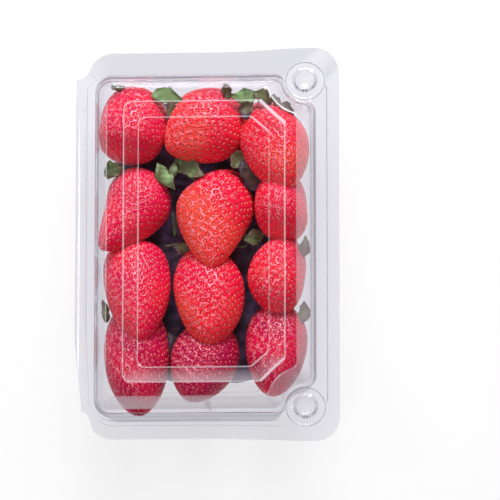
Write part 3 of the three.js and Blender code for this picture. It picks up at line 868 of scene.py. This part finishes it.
def nearest_two(points, centres, batch=4000):
    """Distances from each point to its nearest two centres, worked out in batches."""
    points, centres = points.astype(np.float32), centres.astype(np.float32)
    nearest = []
    for part in np.split(points, range(batch, len(points), batch)):
        gaps = ((part[:, None] - centres[None]) ** 2).sum(-1)
        nearest.append(np.sqrt(np.partition(gaps, 1, axis=1)[:, :2]))
    return np.concatenate(nearest).T


SEED_SIDES = 4
SEED_RINGS = ((-0.26, 0.45), (0.2, 0.4))  # where each ring of points lies, and its radius


def seed_template():
    """A seed: a drop with pointed ends, about 1 long, wide and high."""
    a = np.linspace(0, TURN, SEED_SIDES, endpoint=False)
    rings = [np.stack([np.full(SEED_SIDES, x), r * np.cos(a), r * np.sin(a)], -1) for x, r in SEED_RINGS]
    points = np.concatenate([[[-0.5, 0, 0]], *rings, [[0.5, 0, 0]]])
    last = 1 + SEED_SIDES
    quads = bridge(1, last, SEED_SIDES)
    ends = fan(1, SEED_SIDES, 0, flip=True), fan(last, SEED_SIDES, last + SEED_SIDES)
    triangles = ends[0][:, [2, 0, 1]], quads[:, :3], quads[:, [0, 2, 3]], ends[1]
    return points, np.stack(triangles, 1).reshape(-1, 3)


def skin_angles():
    """Angles round a strawberry: close together over its upper side, and far apart underneath."""
    even = np.linspace(-1, 1, UPPER_COLUMNS, endpoint=False)
    upper = math.radians(90) + math.radians(105) * (even + 0.25 * even**3) / 1.25
    return np.concatenate([upper, np.linspace(LOWER_START, LOWER_STOP, LOWER_COLUMNS, endpoint=False)])


def paint_skin(obj, index, points, normals, t, rise):
    """The ripeness of each point with painted shade added, how high it stands, and its painted ridge
    highlight. The last two are the crown and tip.
    """
    patch = waviness(points[:, 0] * 1.7, points[:, 1] * 1.7, 40 + index)
    flank = np.concatenate([np.maximum(-normals[:, 0], 0), [0, 0]])
    warm = WARMTH[index] * (0.22 + 0.62 * t**1.3 + 0.25 * flank)
    # Painted shade: the red goes on towards crimson lower down, between the fruit.
    low = 0.3 * (1 - smooth(11, 27, points[:, 2]))
    paint(obj, "ripeness_and_shade", np.clip(RIPENESS + PAINTED_SHADE[index] - warm + 0.25 * patch + low, 0, 1))
    paint(obj, "rise", np.concatenate([rise, [0.5, 0.5]]))
    # Painted highlights on the ridges that face RIDGE_LIGHT, in broken lines.
    broken = waviness(points[:-2, 0] * 14, points[:-2, 1] * 14, 70 + index)
    lit = smooth(0.4, 0.95, normals @ RIDGE_LIGHT)
    painted_ridge_highlight = smooth(0.9, 0.98, rise) * smooth(0, 0.25, broken) * lit
    paint(obj, "painted_ridge_highlight", np.concatenate([painted_ridge_highlight, [0, 0]]))


def make_berry(index, facts, skin):
    """A strawberry with a pit for each seed, and the facts that make_seeds needs for it."""
    rng = np.random.default_rng(100 + index)
    berry = Berry(facts, rng)
    t, a = np.meshgrid(berry.spread(ROWS)[1:-1], skin_angles(), indexing="ij")
    points = berry.surface(t, a).reshape(-1, 3)
    normals = berry.normal(t, a).reshape(-1, 3)
    seeds_t, seeds_a = berry.seeds(SEED_SPACING + SEED_SPREAD * WARMTH[index])
    seeds_t = np.clip(seeds_t + rng.normal(0, SEED_JITTER / berry.length, len(seeds_t)), 0.002, 0.998)
    seeds_a = seeds_a + rng.normal(0, SEED_JITTER / berry.half[0], len(seeds_a))
    centres = berry.surface(seeds_t, seeds_a)
    seed_normals = berry.normal(seeds_t, seeds_a)
    first, second = nearest_two(points, centres)
    rise = (1 - ((second - first) / (second + first)) ** 2) ** PIT_CURVE
    points = points - normals * (PIT_DEPTH * (1 - rise))[:, None]
    ends = [berry.surface(np.array([v]), np.array([0.0]))[0] for v in (0.0005, 0.9995)]
    obj = add_capped(f"strawberry_{index + 1}", points.reshape(*t.shape, 3), ends, skin, flip=True)
    points, t = np.concatenate([points, ends]), np.concatenate([t.ravel(), [0, 1]])
    paint_skin(obj, index, points, normals, t, rise)
    return obj, centres, seed_normals, berry, WARMTH[index]


def make_seeds(name, groups, coat):
    """The seeds of some strawberries in one piece, each pointing at its crown."""
    template, faces = seed_template()
    points, triangles, tones = [], [], []
    total = 0
    for centres, normals, berry, warmth in groups:
        along = unit(-berry.along - normals * (normals @ -berry.along)[:, None])
        axes = np.stack([along, np.cross(normals, along), normals], 1)
        size = RANDOM.uniform(0.9, 1.12, len(centres))[:, None, None]
        middle = centres - normals * (PIT_DEPTH - SEED_RAISE)
        points.append((middle[:, None] + size * template * SEED_SIZE @ axes).reshape(-1, 3))
        offsets = total + np.arange(len(centres)) * len(template)
        triangles.append((faces[None] + offsets[:, None, None]).reshape(-1, 3))
        tones.append(np.repeat(RANDOM.uniform(0, 0.5, len(centres)) + 0.5 * warmth, len(template)))
        total += len(centres) * len(template)
    obj = add_mesh(name, np.concatenate(points), [], np.concatenate(triangles), coat)
    paint(obj, "tone", np.concatenate(tones))
    return obj


LEAF_ROWS, LEAF_COLUMNS = 26, 11
LEAF_HALF = 0.15  # half a leaf's thickness


def leaf_points(at, heading, rise, length, width, tone, rng):
    """A curled, ragged sepal as a grid of points, with the vein strength and the tone of each."""
    t = np.linspace(0, 1, LEAF_ROWS)[:, None]
    v = np.linspace(-1, 1, LEAF_COLUMNS)[None]

    def torn(counts):
        return sum(rng.uniform(0.5, 1) * np.sin(k * t + rng.uniform(0, TURN)) / k**0.5 for k in counts)

    left, right = torn((7, 13, 29)), torn((8, 15, 31))
    ragged = 1 + 0.5 * np.where(v < 0, left, right) * np.abs(v)
    half = width / 2 * np.maximum(np.sin(math.pi * t ** rng.uniform(0.65, 0.9)) ** 0.75, 0.08)
    bend, twist, roll = rng.uniform(-0.3, 0.3), rng.uniform(-0.9, 0.9), rng.uniform(-0.5, 0.9)
    across = v * half * ragged
    turn = twist * (t - 0.4)
    x = (t - 0.5) * length
    y = across * np.cos(turn) + bend * length * (t - 0.5) ** 2
    lift = roll * across**2 / width + 0.08 * length * np.sin(TURN * t * 0.8 + rng.uniform(0, TURN))
    z = lift + across * np.sin(turn) + 0.5 * np.sin(11 * t + 4 * v + rng.uniform(0, TURN)) * np.abs(v)
    grid = np.stack(np.broadcast_arrays(x, y, z), -1)
    spin = Matrix.Rotation(math.radians(heading), 3, "Z") @ Matrix.Rotation(math.radians(-rise), 3, "Y")
    middle_vein = 0.35 * np.exp(-((v / 0.12) ** 2))
    side_veins = np.maximum(0, np.cos((t * 5 - np.abs(v) * 1.1) * TURN)) ** 8 * 0.2
    vein = np.maximum(middle_vein, side_veins) * smooth(0, 0.5, tone)
    blotch = waviness(x * 6, across * 6, int(rng.integers(1000)))
    edge = 0.2 * smooth(0.75, 1, np.abs(v))
    speckle = waviness(x * 15, across * 15, int(rng.integers(1000)))
    tones = np.clip(tone + 0.3 * blotch + 0.2 * speckle - edge - 0.3 * smooth(0.6, 1, t), 0, 1)
    return grid @ np.array(spin).T + np.array(at), vein, tones


def make_leaves(blade):
    """Every leaf in one piece, each a closed thin sheet."""
    points, quads, veins, tones = [], [], [], []
    total = 0
    for index, facts in enumerate(LEAVES):
        grid, vein, tone = leaf_points(*facts, rng=np.random.default_rng(200 + index))
        r, c, _ = grid.shape
        normals = unit(np.cross(np.gradient(grid, axis=0), np.gradient(grid, axis=1)))
        lift = normals * LEAF_HALF
        i, j = np.meshgrid(np.arange(r - 1), np.arange(c - 1), indexing="ij")
        top = np.stack([i * c + j, (i + 1) * c + j, (i + 1) * c + j + 1, i * c + j + 1], -1).reshape(-1, 4)
        right, left = np.arange(1, r) * c + c - 1, np.arange(r - 2, 0, -1) * c
        loop = np.concatenate([np.arange(c), right, (r - 1) * c + np.arange(c - 2, -1, -1), left])
        after = np.roll(loop, -1)
        edge = np.stack([loop, after, after + r * c, loop + r * c], -1)
        quads.append(total + np.concatenate([top, top[:, ::-1] + r * c, edge]))
        points.append(np.concatenate([grid + lift, grid - lift]).reshape(-1, 3))
        veins.append(np.tile(vein.ravel(), 2))
        tones.append(np.tile(tone.ravel(), 2))
        total += 2 * r * c
    obj = add_mesh("leaves", confine(np.concatenate(points)), np.concatenate(quads), [], blade)
    paint(obj, "vein", np.concatenate(veins))
    paint(obj, "tone", np.concatenate(tones))
    return obj


STEM_TONE = 0.72


def make_stems(blade):
    """Thin stems, as tubes that sag a little between their ends."""
    points, quads, triangles = [], [], []
    sides, steps = 8, 10
    a = np.linspace(0, TURN, sides, endpoint=False)
    t = np.linspace(0, 1, steps)[:, None]
    for index, (start, stop, radius, sag) in enumerate(STEMS):
        start, stop = np.array(start, float), np.array(stop, float)
        path = mix(start, stop, t) + np.array([0, 0, -sag]) * np.sin(math.pi * t)
        side = unit(np.cross(stop - start, [0, 0, 1]))
        over = unit(np.cross(side, stop - start))
        thick = radius * (0.75 + 0.5 * np.abs(t - 0.5))[..., None]
        tube = path[:, None] + thick * (np.cos(a)[None, :, None] * side + np.sin(a)[None, :, None] * over)
        points.append(np.concatenate([tube.reshape(-1, 3), path[[0, -1]]]))
        first = index * (steps * sides + 2)
        ends = first + steps * sides
        quads.append(quads_of(steps, sides, first))
        triangles += [fan(first, sides, ends, flip=True), fan(ends - sides, sides, ends + 1)]
    obj = add_mesh("stems", *map(np.concatenate, (points, quads, triangles)), blade)
    paint(obj, "vein", np.zeros(len(obj.data.vertices)))
    paint(obj, "tone", np.full(len(obj.data.vertices), STEM_TONE))
    return obj


CORE_OUTLINE = dict(left=-44, right=42, end=69, corner=10, notch=(24, 5))
CORE_SHIFT = 7  # towards the top end
CORE_FOOT, CORE_TOP = 2.2, 8


def make_core(look):
    """The shaded fruit under the top layer, as a low bumpy body."""
    loop = wall_outline(CORE_OUTLINE)
    loop = loop - outward(loop) * (1 + np.sin(loop.sum(1) / 4))[:, None]
    side = [(0.94, CORE_FOOT), (0.96, 3), (0.99, 5), (1, 7)]
    top = [(size, CORE_TOP + 0.5) for size in np.linspace(0.98, 0.05, 24)]
    rings = np.array([ring(loop * size, z) for size, z in side + top])
    x, y = rings[len(side):, :, 0], rings[len(side):, :, 1]
    rings[len(side):, :, 2] += 2 * np.abs(np.sin(x / 9)) * np.abs(np.sin(y / 11)) - 1
    rings[..., 1] += CORE_SHIFT
    return add_capped("shaded_core", rings, [[0, CORE_SHIFT, z] for z in (CORE_FOOT, CORE_TOP)], look)


# ---------- the floor, the light and the camera ----------
FLOOR_HALF = 2500
LIGHT_TARGET = Vector((0, 0, 0.03))


def make_floor():
    """A pale floor that glows a little, like a light table, which keeps the plastic bright."""
    points = FLOOR_HALF * np.array([(-1, -1, 0), (1, -1, 0), (1, 1, 0), (-1, 1, 0)])
    material, *_, shader = new_material("pale floor")
    set_inputs(shader, {"Base Color": (0.22, 0.22, 0.22, 1), "Roughness": 0.9, "Specular IOR Level": 0})
    set_inputs(shader, {"Emission Color": (1, 1, 1, 1), "Emission Strength": 0.76})
    floor = add_mesh("floor", points, [(0, 1, 2, 3)], [], material)


def softbox(name, place, size, power, mirrored=True):
    """A soft light that faces the middle of the pack, in metres and watts."""
    light = bpy.data.lights.new(name, "AREA")
    light.shape = "RECTANGLE"
    light.size, light.size_y = size
    light.energy = power
    obj = bpy.data.objects.new(name, light)
    bpy.context.scene.collection.objects.link(obj)
    obj.location = place
    obj.visible_glossy = mirrored
    obj.rotation_euler = (LIGHT_TARGET - Vector(place)).to_track_quat("-Z", "Y").to_euler()


def make_light():
    world = bpy.data.worlds.new("studio")
    world.use_nodes = True
    set_inputs(world.node_tree.nodes["Background"], {"Color": (1, 1, 1, 1), "Strength": 0.03})
    bpy.context.scene.world = world
    softbox("top softbox", (0.1, 0.72, 0.56), (0.5, 0.4), 10.2)
    softbox("foot softbox", (-0.15, -0.55, 0.82), (0.5, 0.5), 2.4, mirrored=False)
    softbox("left softbox", (-0.72, 0.1, 0.72), (0.36, 0.36), 2.7)
    softbox("right softbox", (0.78, 0.1, 0.46), (0.4, 0.5), 1.3, mirrored=False)


# The camera looks down on the lid from the foot end, far off through a long lens.
IMAGE_SIZE = 500
PIXELS_PER_MM = 2.104
DISTANCE = 2.6  # in metres
LEAN_RIGHT, LEAN_FOOT = math.radians(2.4), math.radians(12.6)
PACK_MIDDLE_PX = (207.3, 243.6)


def make_camera():
    data = bpy.data.cameras.new("camera")
    camera = bpy.data.objects.new("camera", data)
    bpy.context.scene.collection.objects.link(camera)
    turn = Matrix.Rotation(LEAN_RIGHT, 3, "Y") @ Matrix.Rotation(LEAN_FOOT, 3, "X")
    right, up, back = turn.col
    across = (IMAGE_SIZE / 2 - PACK_MIDDLE_PX[0]) / PIXELS_PER_MM * MM
    rise = (PACK_MIDDLE_PX[1] - IMAGE_SIZE / 2) / PIXELS_PER_MM * MM
    aim = Vector((0, 0, LID_FLANGE * MM)) + right * across + up * rise
    camera.matrix_world = Matrix.Translation(aim + back * DISTANCE) @ turn.to_4x4()
    data.sensor_width = 36
    data.lens = data.sensor_width * PIXELS_PER_MM * DISTANCE / MM / IMAGE_SIZE
    data.clip_start, data.clip_end = 0.1, 10
    bpy.context.scene.camera = camera


# ---------- putting it together ----------
TRAY_BODY, LID_BODY = "tray body", "lid body"


def place(obj, body, slot_name, node):
    """Puts a piece on a body of the part, in place of a plain solid."""
    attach(obj, body)
    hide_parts(node)


def main():
    make_camera()
    make_floor()
    make_light()
    bpy.context.scene.view_settings.view_transform = "Standard"

    plastic = clear_plastic()
    place(make_tray(plastic), TRAY_BODY, "clear_plastic", "tray")
    place(make_lid(plastic), LID_BODY, "clear_plastic", "lid")

    skin, coat = strawberry_skin(), seed_coat()
    made = [make_berry(index, facts, skin) for index, facts in enumerate(STRAWBERRIES)]
    fruit = [obj for obj, *_ in made]
    for row in range(4):
        groups = [made[3 * row + column][1:] for column in range(3)]
        fruit.append(make_seeds(f"seeds_{row + 1}", groups, coat))
    blade = leaf_blade()
    fruit += [make_leaves(blade), make_stems(blade), make_core(dark_core())]
    for obj in fruit:
        place(obj, TRAY_BODY, "strawberry", "strawberries")


main()
